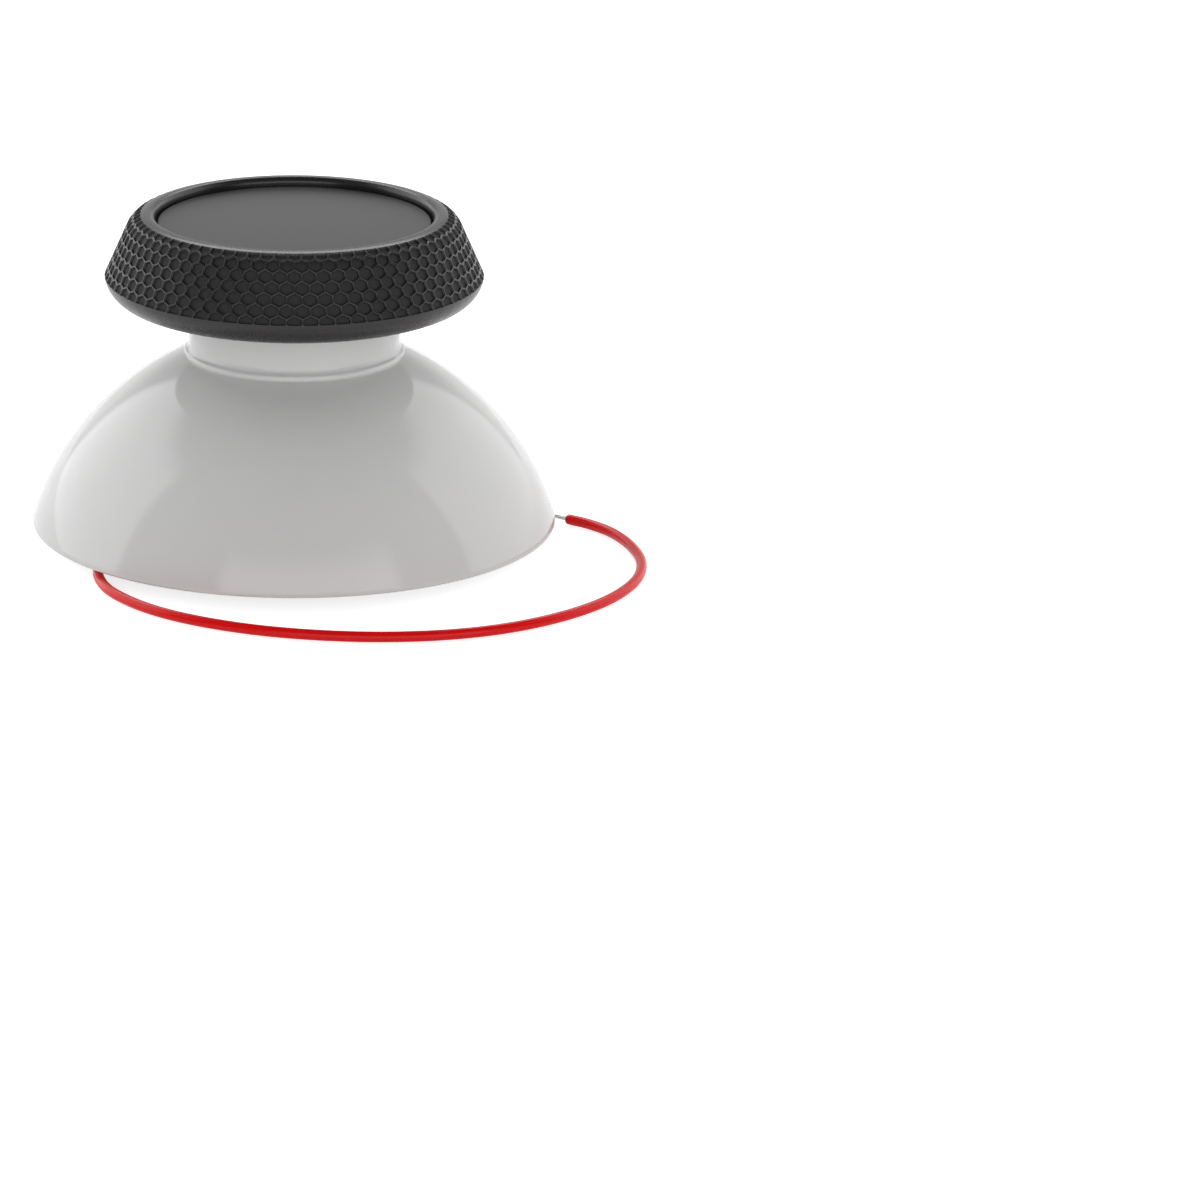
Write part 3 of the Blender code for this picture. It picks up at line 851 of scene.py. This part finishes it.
    def build(self) -> tuple[bpy.types.Object, bpy.types.Object]:
        """Make the insulated wire and its bare strands.

        Returns:
            The wire and its tip.
        """
        line = self.line()
        headings = self.headings(line)
        rings = [(place, heading, self.radius) for place, heading in zip(line, headings)]
        rings = [ring for ring in rings if (ring[0] - line[-1]).length > self.end_round]
        for i in range(1, self.end_steps + 1):
            angle = math.radians(90.0 * i / self.end_steps)
            back = self.end_round * (1.0 - math.sin(angle))
            radius = self.radius - self.end_round * (1.0 - math.cos(angle))
            rings.append((line[-1] - headings[-1] * back, headings[-1], radius))
        shape = bmesh.new()
        self.sleeve(shape, rings, self.sides)
        bmesh.ops.recalc_face_normals(shape, faces=shape.faces)
        wire = new_piece("red_wire", shape, RED_INSULATION.material())
        tip = self.tip(line[-1], headings[-1])
        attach(wire, "root")
        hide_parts("signal_wire")
        return wire, tip

    def tip(self, start: Vector, heading: Vector) -> bpy.types.Object:
        """Make the bare twisted strands past the insulation.

        Args:
            start: the insulation's end.
            heading: the wire's direction there.

        Returns:
            The strands.
        """
        shape = bmesh.new()
        strand_radius = self.core_radius / 3
        side = heading.cross(Vector((0, 0, 1))).normalized()
        above = side.cross(heading)
        steps = self.strand_steps
        for strand in range(self.strands + 1):
            reach = 0.0 if strand == self.strands else self.strand_reach * strand_radius
            line = []
            for i in range(steps + 1):
                angle = math.tau * (strand / self.strands + self.strand_turns * i / steps)
                gather = 1.0 - self.strand_gather * i / steps
                line.append(start + heading * (self.stripped * i / steps + self.strand_gap)
                            + (side * math.cos(angle) + above * math.sin(angle)) * reach * gather)
            self.sleeve(shape, [(place, way, strand_radius) for place, way in zip(line, self.headings(line))],
                        self.strand_sides)
        bmesh.ops.recalc_face_normals(shape, faces=shape.faces)
        tip = new_piece("bare_strands", shape, TINNED.material())
        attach(tip, "root")
        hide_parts("wire_tip")
        return tip


@dataclass
class DomeStem:
    """White moulding: the dome, the neck on it and the socket post in it."""

    sizes: StickSizes
    steps: int = 192
    post_radius: float = 3.2 * MM
    post_chamfer: float = 0.2 * MM
    flare_radius: float = 0.35 * MM
    bead_radius: float = 0.18 * MM
    bead_reach: float = 0.23 * MM
    bead_rise: float = 0.09 * MM
    rim_round: float = 0.12 * MM
    socket_radius: float = 2.05 * MM
    socket_flats: float = 3.1 * MM
    socket_depth: float = 7.0 * MM
    socket_lead: float = 0.3 * MM
    socket_steps: int = 96
    neck_edge: float = 0.02 * MM
    flare_steps: int = 10
    bead_steps: int = 14
    outer_steps: int = 60
    inner_steps: int = 40
    rim_steps: int = 4
    sharp: float = 35.0

    def foot(self) -> tuple[list[Point2], float]:
        """Work out the hollow flare and the round bead at the neck's foot.

        Returns:
            The points (r, z), and the angle in degrees where the dome takes over.
        """
        size = self.sizes
        ball = size.ball_radius
        bead_r = size.neck_radius + self.bead_reach - self.bead_radius
        bead_z = size.centre_z + math.sqrt(ball ** 2 - bead_r ** 2) + self.bead_rise
        both = self.flare_radius + self.bead_radius
        flare_r = size.neck_radius + self.flare_radius
        lean = math.degrees(math.acos((flare_r - bead_r) / both))
        flare_z = bead_z + both * math.sin(math.radians(lean))
        reach = math.hypot(bead_r, bead_z - size.centre_z)
        tilt = math.degrees(math.atan2(bead_z - size.centre_z, bead_r))
        bead_end = tilt - 180.0 + corner_angle(self.bead_radius, reach, ball)
        points = arc((flare_r, flare_z), self.flare_radius, 180.0, 180.0 + lean, self.flare_steps)
        points += arc((bead_r, bead_z), self.bead_radius, lean, bead_end, self.bead_steps)[1:]
        return points, tilt - corner_angle(ball, reach, self.bead_radius)

    def profile(self) -> list[Point2]:
        """Work out the section from the bore's floor outwards.

        Returns:
            Points (r, z) from the axis back to the axis.
        """
        size = self.sizes
        inner = size.ball_radius - size.dome_wall
        centre = (0.0, size.centre_z)
        foot, dome_start = self.foot()
        rim_z = size.rim_height + self.rim_round
        rise = rim_z - size.centre_z
        outer_edge = math.sqrt(size.ball_radius ** 2 - rise ** 2)
        inner_edge = math.sqrt(inner ** 2 - rise ** 2)
        points = [(0.0, size.bore_floor_z), (size.bore_radius, size.bore_floor_z),
                  (size.bore_radius, size.neck_top_z), (size.neck_radius - self.neck_edge, size.neck_top_z),
                  (size.neck_radius, size.neck_top_z - self.neck_edge)]
        points += foot
        points += arc(centre, size.ball_radius, dome_start, math.degrees(math.asin(rise / size.ball_radius)),
                      self.outer_steps)[1:]
        points += arc((outer_edge - self.rim_round, rim_z), self.rim_round, 0.0, -90.0, self.rim_steps)[1:]
        points += arc((inner_edge + self.rim_round, rim_z), self.rim_round, -90.0, -180.0,
                      self.rim_steps)[:-1]
        points += arc(centre, inner, math.degrees(math.asin(rise / inner)),
                      math.degrees(math.acos(self.post_radius / inner)), self.inner_steps)
        points += [(self.post_radius, self.post_chamfer), (self.post_radius - self.post_chamfer, 0.0),
                   (0.0, 0.0)]
        return points

    def socket(self, bottom: float, top: float, grow: float) -> bmesh.types.BMesh:
        """Make the socket's shape: a cylinder with two flats.

        Args:
            bottom: lower end's height.
            top: upper end's height.
            grow: how much wider its lower end is all round.

        Returns:
            The closed shape.
        """
        shape = bmesh.new()
        depth = top - bottom
        bmesh.ops.create_cone(shape, cap_ends=True, segments=self.socket_steps,
                              radius1=self.socket_radius + grow, radius2=self.socket_radius, depth=depth)
        for side in (1.0, -1.0):
            made = bmesh.ops.bisect_plane(
                shape, geom=shape.verts[:] + shape.edges[:] + shape.faces[:], dist=END_REACH,
                plane_co=(0.0, side * (self.socket_flats + grow) / 2, 0.0),
                plane_no=(0.0, side, grow / depth), clear_outer=True)
            rim = [item for item in made["geom_cut"] if isinstance(item, bmesh.types.BMEdge)]
            bmesh.ops.edgeloop_fill(shape, edges=rim)
        bmesh.ops.recalc_face_normals(shape, faces=shape.faces)
        bmesh.ops.translate(shape, vec=(0.0, 0.0, (bottom + top) / 2), verts=shape.verts)
        return shape

    def build(self) -> bpy.types.Object:
        """Make the moulding.

        Returns:
            The piece.
        """
        size = self.sizes
        piece = new_piece("white_dome", spun(self.profile(), self.steps), WHITE_GLOSS.material())
        past = size.clearance
        cut(piece, self.socket(-past, self.socket_depth, 0.0))
        cut(piece, self.socket(-past, self.socket_lead, self.socket_lead + past))
        cut(piece, cylinder(size.wire_hole_radius, size.bore_floor_z - 2 * size.dome_wall,
                            size.bore_floor_z + past, size.wire_x, size.wire_y))
        key_length = size.key_depth + size.neck_wall / 2
        bottom = size.bore_floor_z - past
        key_x = size.bore_radius - size.key_depth + key_length / 2
        cut(piece, block((key_length, size.key_width, size.cap_z - bottom),
                         (key_x, 0.0, (size.cap_z + bottom) / 2)), "UNION")
        piece.data.set_sharp_from_angle(angle=math.radians(self.sharp))
        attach(piece, "root")
        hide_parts("dome_stem")
        LOG.info("white dome: %d faces", len(piece.data.polygons))
        return piece


@dataclass
class GripCap:
    """Black cap, rolled up from a flat honeycomb sheet that grows into the rest of its section."""

    FLOOR_LAYER = "floor"
    RIB_LAYER = "rib"

    sizes: StickSizes
    radius: float = 8.97 * MM
    foot_radius: float = 8.72 * MM
    foot_round: float = 1.40 * MM
    band_height: float = 1.18 * MM
    crown_radius: float = 1.16 * MM
    columns: int = 74
    rows: int = 7
    row_pitch: float = 0.534 * MM
    first_row: float = 0.13 * MM
    pattern_top: float = 3.51 * MM
    pattern_fade: float = 0.07 * MM
    rib_width: float = 0.140 * MM
    rib_steps: tuple[Point2, ...] = ((0.20, 0.0), (0.27, 0.07), (0.23, 0.17), (0.16, 0.28), (0.14, 0.48))
    rib_height: float = 0.100 * MM
    roll_radius: float = 8.0 * MM
    pocket_radius: float = 0.8 * MM
    pocket_depth: float = 0.7 * MM
    cell_merge: float = 0.001 * MM
    bend_step: float = 0.07 * MM
    foot_steps: int = 24
    crown_steps: int = 40
    lip_steps: int = 14
    sharp: float = 50.0

    def outline(self) -> Outline:
        """Work out the cap's section from the boss's end, up the outside and into the recess.

        Returns:
            The outline, with length 0 at the widest edge.
        """
        size = self.sizes
        crest = size.crest_z
        boss = size.bore_radius - size.clearance
        boss_end = size.bore_floor_z + size.clearance
        seat = size.neck_radius + size.clearance
        seat_z = size.cap_z + size.neck_seat_depth
        widest = (self.radius, size.cap_z + self.band_height)
        foot = (self.foot_radius, size.cap_z)
        crown = (size.crest_radius, crest - self.crown_radius)
        lip = (size.crest_radius, crest - size.lip_radius)
        disc_seat = size.disc_z - size.clearance
        plate_wall = size.plate_radius + size.clearance
        points = [(0.0, boss_end), (boss - size.clearance, boss_end), (boss, boss_end + size.clearance),
                  (boss, seat_z), (seat, seat_z), (seat, size.cap_z)]
        points += fillet((seat, size.cap_z), foot, widest, self.foot_round, self.foot_steps)
        zero = len(points)
        points.append(widest)
        points += arc(crown, self.crown_radius, tangent_angle(crown, self.crown_radius, widest), 90.0,
                      self.crown_steps)
        points += arc(lip, size.lip_radius, 90.0, 180.0, self.lip_steps)[1:]
        points += [(size.lip_wall_radius, disc_seat), (plate_wall, disc_seat),
                   (plate_wall, size.plate_seat_z), (0.0, size.plate_seat_z)]
        return Outline(points, zero)

    def honeycomb(self) -> bmesh.types.BMesh:
        """Make the flat honeycomb: x across, y up the cap's slope, z the height of the ribs.

        Returns:
            The sheet, from the widest edge to the pattern's top.
        """
        shape = bmesh.new()
        width = math.tau * self.roll_radius / self.columns
        for row in range(self.rows):
            for column in range(self.columns):
                cell = bmesh.ops.create_circle(shape, cap_ends=True, segments=6, radius=1.0)["verts"]
                bmesh.ops.scale(shape, vec=(width / math.sqrt(3), self.row_pitch * 2 / 3, 1.0), verts=cell)
                bmesh.ops.translate(shape, vec=((column + 0.5 * (row % 2)) * width,
                                                self.first_row + row * self.row_pitch, 0.0), verts=cell)
        bmesh.ops.remove_doubles(shape, verts=shape.verts, dist=self.cell_merge)
        cells = shape.faces[:]
        for across, down in self.rib_steps:
            bmesh.ops.inset_individual(shape, faces=cells, thickness=across * self.rib_width / 2,
                                       depth=-down * self.rib_height, use_even_offset=True)
        return shape

    def trim(self, shape: bmesh.types.BMesh, place: float, drop: float) -> None:
        """Cut the sheet straight across.

        Args:
            shape: the sheet.
            place: y of the cut.
            drop: +1 drops what lies above it, -1 what lies below, 0 only divides the faces.
        """
        bmesh.ops.bisect_plane(shape, geom=shape.verts[:] + shape.edges[:] + shape.faces[:], dist=CUT_REACH,
                               plane_co=(0.0, place, 0.0), plane_no=(0.0, drop or 1.0, 0.0),
                               clear_outer=bool(drop))

    def end_edges(self, shape: bmesh.types.BMesh, place: float) -> list[bmesh.types.BMEdge]:
        """Return the edges of the sheet's straight end at y = place."""
        return [edge for edge in shape.edges if edge.is_boundary
                and all(abs(vert.co.y - place) < END_REACH for vert in edge.verts)]

    def build(self) -> bpy.types.Object:
        """Make the cap.

        Returns:
            The piece.
        """
        outline = self.outline()
        shape = self.honeycomb()
        self.trim(shape, 0.0, -1.0)
        self.trim(shape, self.pattern_top, 1.0)
        crown_start = outline.travelled[outline.travelled.index(0.0) + 1]
        for i in range(1, int((self.pattern_top - crown_start) / self.bend_step) + 1):
            self.trim(shape, self.pattern_top - i * self.bend_step, 0.0)
        for place in (self.pattern_fade / 2, self.pattern_fade):
            self.trim(shape, place, 0.0)
        floor = shape.verts.layers.float.new(self.FLOOR_LAYER)
        rib = shape.verts.layers.float.new(self.RIB_LAYER)
        for vert in shape.verts:
            relief = 1.0 + vert.co.z / self.rib_height
            margin = min(vert.co.y, self.pattern_top - vert.co.y) / self.pattern_fade
            fade = min(1.0, max(0.0, margin))
            vert[floor] = max(0.0, 1.0 - 2.0 * relief) * fade
            vert[rib] = min(1.0, 2.0 * relief) * fade
            vert.co.z = (relief - 1.0) * fade * self.rib_height
        lower, upper = (self.end_edges(shape, place) for place in (0.0, self.pattern_top))
        self.grow(shape, lower, [s for s in reversed(outline.travelled) if s < -1e-9])
        self.grow(shape, upper, [s for s in outline.travelled if s > self.pattern_top + 1e-6])
        for vert in shape.verts:
            angle = vert.co.x / self.roll_radius
            place, out = outline.at(vert.co.y)
            place = place + out * vert.co.z
            vert.co = (place.x * math.sin(angle), -place.x * math.cos(angle), place.y)
        bmesh.ops.remove_doubles(shape, verts=shape.verts, dist=MERGE_REACH)
        bmesh.ops.recalc_face_normals(shape, faces=shape.faces)
        piece = new_piece("grip_cap_honeycomb", shape, BLACK_GRIP.material(), self.sharp)
        self.cut_inside(piece)
        piece.data.shade_smooth()
        piece.data.set_sharp_from_angle(angle=math.radians(self.sharp))
        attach(piece, "root")
        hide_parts("grip_cap")
        LOG.info("grip cap: %d faces", len(piece.data.polygons))
        return piece

    def cut_inside(self, piece: bpy.types.Object) -> None:
        """Cut the wire's way and slot, the solder pocket and the keyway, as the solid has them.

        Args:
            piece: the cap.
        """
        size = self.sizes
        past = size.clearance
        boss_end = size.bore_floor_z + size.clearance
        seat_z = size.cap_z + size.neck_seat_depth
        low, middle = boss_end - past, (seat_z + boss_end - past) / 2
        cut(piece, cylinder(size.wire_hole_radius, low, size.plate_seat_z + past, size.wire_x, size.wire_y))
        length = size.bore_radius - size.wire_hole_reach + size.clearance
        reach = size.wire_hole_reach + length / 2
        turn = size.wire_hole_angle
        cut(piece, block((length, 2 * size.wire_hole_radius, seat_z - low),
                         (reach * math.cos(turn), reach * math.sin(turn), middle), turn))
        cut(piece, cylinder(self.pocket_radius, size.plate_seat_z - self.pocket_depth,
                            size.plate_seat_z + past, size.wire_x, size.wire_y))
        depth = size.key_depth + 2 * size.clearance
        cut(piece, block((depth, size.key_width + 2 * size.clearance, seat_z - low),
                         (size.bore_radius - depth / 2 + size.clearance, 0.0, middle)))

    def grow(self, shape: bmesh.types.BMesh, edges: list[bmesh.types.BMEdge], stations: list[float]) -> None:
        """Extrude the sheet's end edges along the outline.

        Args:
            shape: the sheet.
            edges: the end's edges.
            stations: lengths along the outline, in order.
        """
        for station in stations:
            verts, edges = extruded(shape, edges)
            for vert in verts:
                vert.co.y = station


@dataclass
class TouchDisc:
    """Smooth satin disc let into the cap."""

    sizes: StickSizes
    edge_round: float = 0.08 * MM
    edge_steps: int = 6
    crown_steps: int = 12
    steps: int = 192

    def build(self) -> bpy.types.Object:
        """Make the disc.

        Returns:
            The piece.
        """
        size = self.sizes
        radius = size.lip_wall_radius - size.clearance
        top = size.disc_z + size.disc_thickness
        flat = radius - self.edge_round
        count = self.crown_steps
        profile = [(flat * i / count, top + size.disc_crown * (1.0 - (i / count) ** 2)) for i in range(count)]
        profile += arc((flat, top - self.edge_round), self.edge_round, 90.0, 0.0, self.edge_steps)
        profile += [(radius, size.disc_z), (0.0, size.disc_z)]
        piece = new_piece("satin_disc", spun(profile, self.steps), SATIN_DISC.material())
        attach(piece, "root")
        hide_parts("touch_disc")
        LOG.info("touch disc: %.2f mm across", 2 * radius / MM)
        return piece


@dataclass
class InnerParts:
    """Electrode plate and solder joint, which keep their solids and get a finish each."""

    nodes: dict[str, bpy.types.Object]

    def dress(self) -> None:
        """Give each carried-over node its material."""
        for name, finish in (("electrode_plate", COPPER), ("solder_joint", SOLDER)):
            material = finish.material()
            for slot in self.nodes[name].material_slots:
                slot.material = material
            LOG.info("%s: %s", name, finish.name)


@dataclass
class Softbox:
    """Rectangular studio light that faces the stick."""

    name: str
    place: tuple[float, float, float]
    size: tuple[float, float]
    brightness: float

    def build(self, target: Vector) -> None:
        """Make the light.

        Args:
            target: the point that it faces.
        """
        data = bpy.data.lights.new(self.name, "AREA")
        data.shape = "RECTANGLE"
        data.size, data.size_y = self.size
        data.energy = self.brightness * math.pi * self.size[0] * self.size[1]
        light = bpy.data.objects.new(self.name, data)
        away = (Vector(self.place) - target).normalized()
        light.rotation_euler = away.to_track_quat("Z", "Y").to_euler()
        light.location = self.place
        bpy.context.scene.collection.objects.link(light)


@dataclass(frozen=True)
class Panel:
    """Bright wall panel far off: its directions in degrees, 0 behind the stick and 90 on its right."""

    start: float
    end: float
    top: float
    brightness: float
    turn_edge: float = 3.0
    top_edge: float = 6.0

    def glow(self, sheet: NodeSheet, turn: bpy.types.NodeSocket, height: bpy.types.NodeSocket
             ) -> bpy.types.NodeSocket:
        """Add the panel's light.

        Args:
            sheet: the world's nodes.
            turn: socket of a direction's turn, -180 to 180.
            height: socket of its height above the horizon, in degrees.

        Returns:
            Socket of the panel's brightness in that direction.
        """
        middle = (self.start + self.end) / 2
        half = (self.end - self.start) / 2
        offset = sheet.maths("SUBTRACT", turn, middle)
        wrapped = sheet.add("ShaderNodeMath", operation="WRAP")
        sheet.join(offset, wrapped.inputs[0])
        wrapped.inputs[1].default_value = 180.0
        wrapped.inputs[2].default_value = -180.0
        away = sheet.maths("ABSOLUTE", wrapped.outputs[0], 0.0)
        across = sheet.step(away, self.brightness, 0.0, half - self.turn_edge, half + self.turn_edge)
        return sheet.maths("MULTIPLY", across, sheet.step(height, 1.0, 0.0, self.top - self.top_edge,
                                                          self.top + self.top_edge))


@dataclass
class Studio:
    """White floor, dim surroundings with soft-edged bright panels, and a light behind."""

    target: Vector = field(default_factory=lambda: Vector((0.0, 0.0, 8.0 * MM)))
    floor_radius: float = 1.5
    floor_drop: float = 0.03 * MM
    floor_colour: float = 0.88
    floor_glow: float = 0.75
    floor_shine: float = 0.65
    room_level: float = 0.20
    top_level: float = 0.15
    top_edge: Point2 = (45.0, 65.0)
    backdrop_edge: Point2 = (22.0, 32.0)
    backdrop_top: Point2 = (4.0, 23.0)
    panels: tuple[Panel, ...] = (
        Panel(-97.0, -28.0, 48.0, 1.7),
        Panel(-28.0, 28.0, 40.0, 0.3),
        Panel(28.0, 97.0, 48.0, 1.3),
        Panel(133.0, 213.0, 28.0, 1.6, top_edge=10.0),
    )
    lights: tuple[Softbox, ...] = (
        Softbox("back_strip", (0.0, 0.37, 0.35), (0.40, 0.16), 4.0),
    )

    def build(self) -> None:
        """Make the floor, the world and the lights."""
        self.floor()
        self.world()
        for light in self.lights:
            light.build(self.target)
        LOG.info("studio: %d lights", len(self.lights))

    def floor(self) -> None:
        """Make the floor, which is seen as white and keeps the stick's shadow."""
        shape = bmesh.new()
        bmesh.ops.create_circle(shape, cap_ends=True, segments=64, radius=self.floor_radius)
        bmesh.ops.translate(shape, vec=(0.0, 0.0, -self.floor_drop), verts=shape.verts)
        material = bpy.data.materials.new("white_floor")
        material.use_nodes = True
        sheet = NodeSheet(material.node_tree)
        diffuse = sheet.add("ShaderNodeBsdfDiffuse")
        diffuse.inputs["Color"].default_value = (self.floor_colour,) * 3 + (1.0,)
        glow = sheet.add("ShaderNodeEmission")
        level = sheet.maths("MULTIPLY", sheet.seen_rays(self.floor_shine), self.floor_glow)
        sheet.join(level, glow.inputs["Strength"])
        both = sheet.add("ShaderNodeAddShader")
        sheet.join(diffuse.outputs["BSDF"], both.inputs[0])
        sheet.join(glow.outputs["Emission"], both.inputs[1])
        output = sheet.add("ShaderNodeOutputMaterial")
        sheet.join(both.outputs["Shader"], output.inputs["Surface"])
        new_piece("floor", shape, material)

    def world(self) -> None:
        """Make the surroundings: white where they are seen, a dim room with bright panels elsewhere."""
        world = bpy.data.worlds.new("studio")
        bpy.context.scene.world = world
        world.use_nodes = True
        sheet = NodeSheet(world.node_tree)
        way = sheet.add("ShaderNodeSeparateXYZ")
        sheet.join(sheet.add("ShaderNodeTexCoord").outputs["Generated"], way.inputs["Vector"])
        across, depth, up = way.outputs
        turn = sheet.maths("MULTIPLY", sheet.maths("ARCTAN2", across, depth), math.degrees(1.0))
        height = sheet.maths("MULTIPLY", sheet.maths("ARCSINE", up, 0.0), math.degrees(1.0))
        level = sheet.step(height, self.room_level, self.top_level, *self.top_edge)
        for panel in self.panels:
            level = sheet.maths("ADD", level, panel.glow(sheet, turn, height))
        room, white = (sheet.add("ShaderNodeBackground") for _ in range(2))
        for background in (room, white):
            background.inputs["Color"].default_value = (1.0, 1.0, 1.0, 1.0)
            background.inputs["Strength"].default_value = 1.0
        sheet.join(level, room.inputs["Strength"])
        behind = sheet.step(sheet.maths("ABSOLUTE", turn, 0.0), 1.0, 0.0, *self.backdrop_edge)
        behind = sheet.maths("MULTIPLY", behind, sheet.step(height, 1.0, 0.0, *self.backdrop_top))
        mix = sheet.add("ShaderNodeMixShader")
        sheet.join(sheet.seen_rays(behind), mix.inputs["Fac"])
        sheet.join(room.outputs["Background"], mix.inputs[1])
        sheet.join(white.outputs["Background"], mix.inputs[2])
        output = sheet.add("ShaderNodeOutputWorld")
        sheet.join(mix.outputs["Shader"], output.inputs["Surface"])


def main() -> None:
    """Build the dressed thumbstick in its studio."""
    logging.basicConfig(level=logging.INFO, format="%(name)s: %(message)s")
    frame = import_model()
    bpy.context.scene.view_settings.view_transform = "Standard"
    PhotoCamera().build()
    SignalWire(SIZES).build()
    DomeStem(SIZES).build()
    GripCap(SIZES).build()
    TouchDisc(SIZES).build()
    InnerParts(frame["nodes"]).dress()
    Studio().build()


if __name__ == "__main__":
    main()
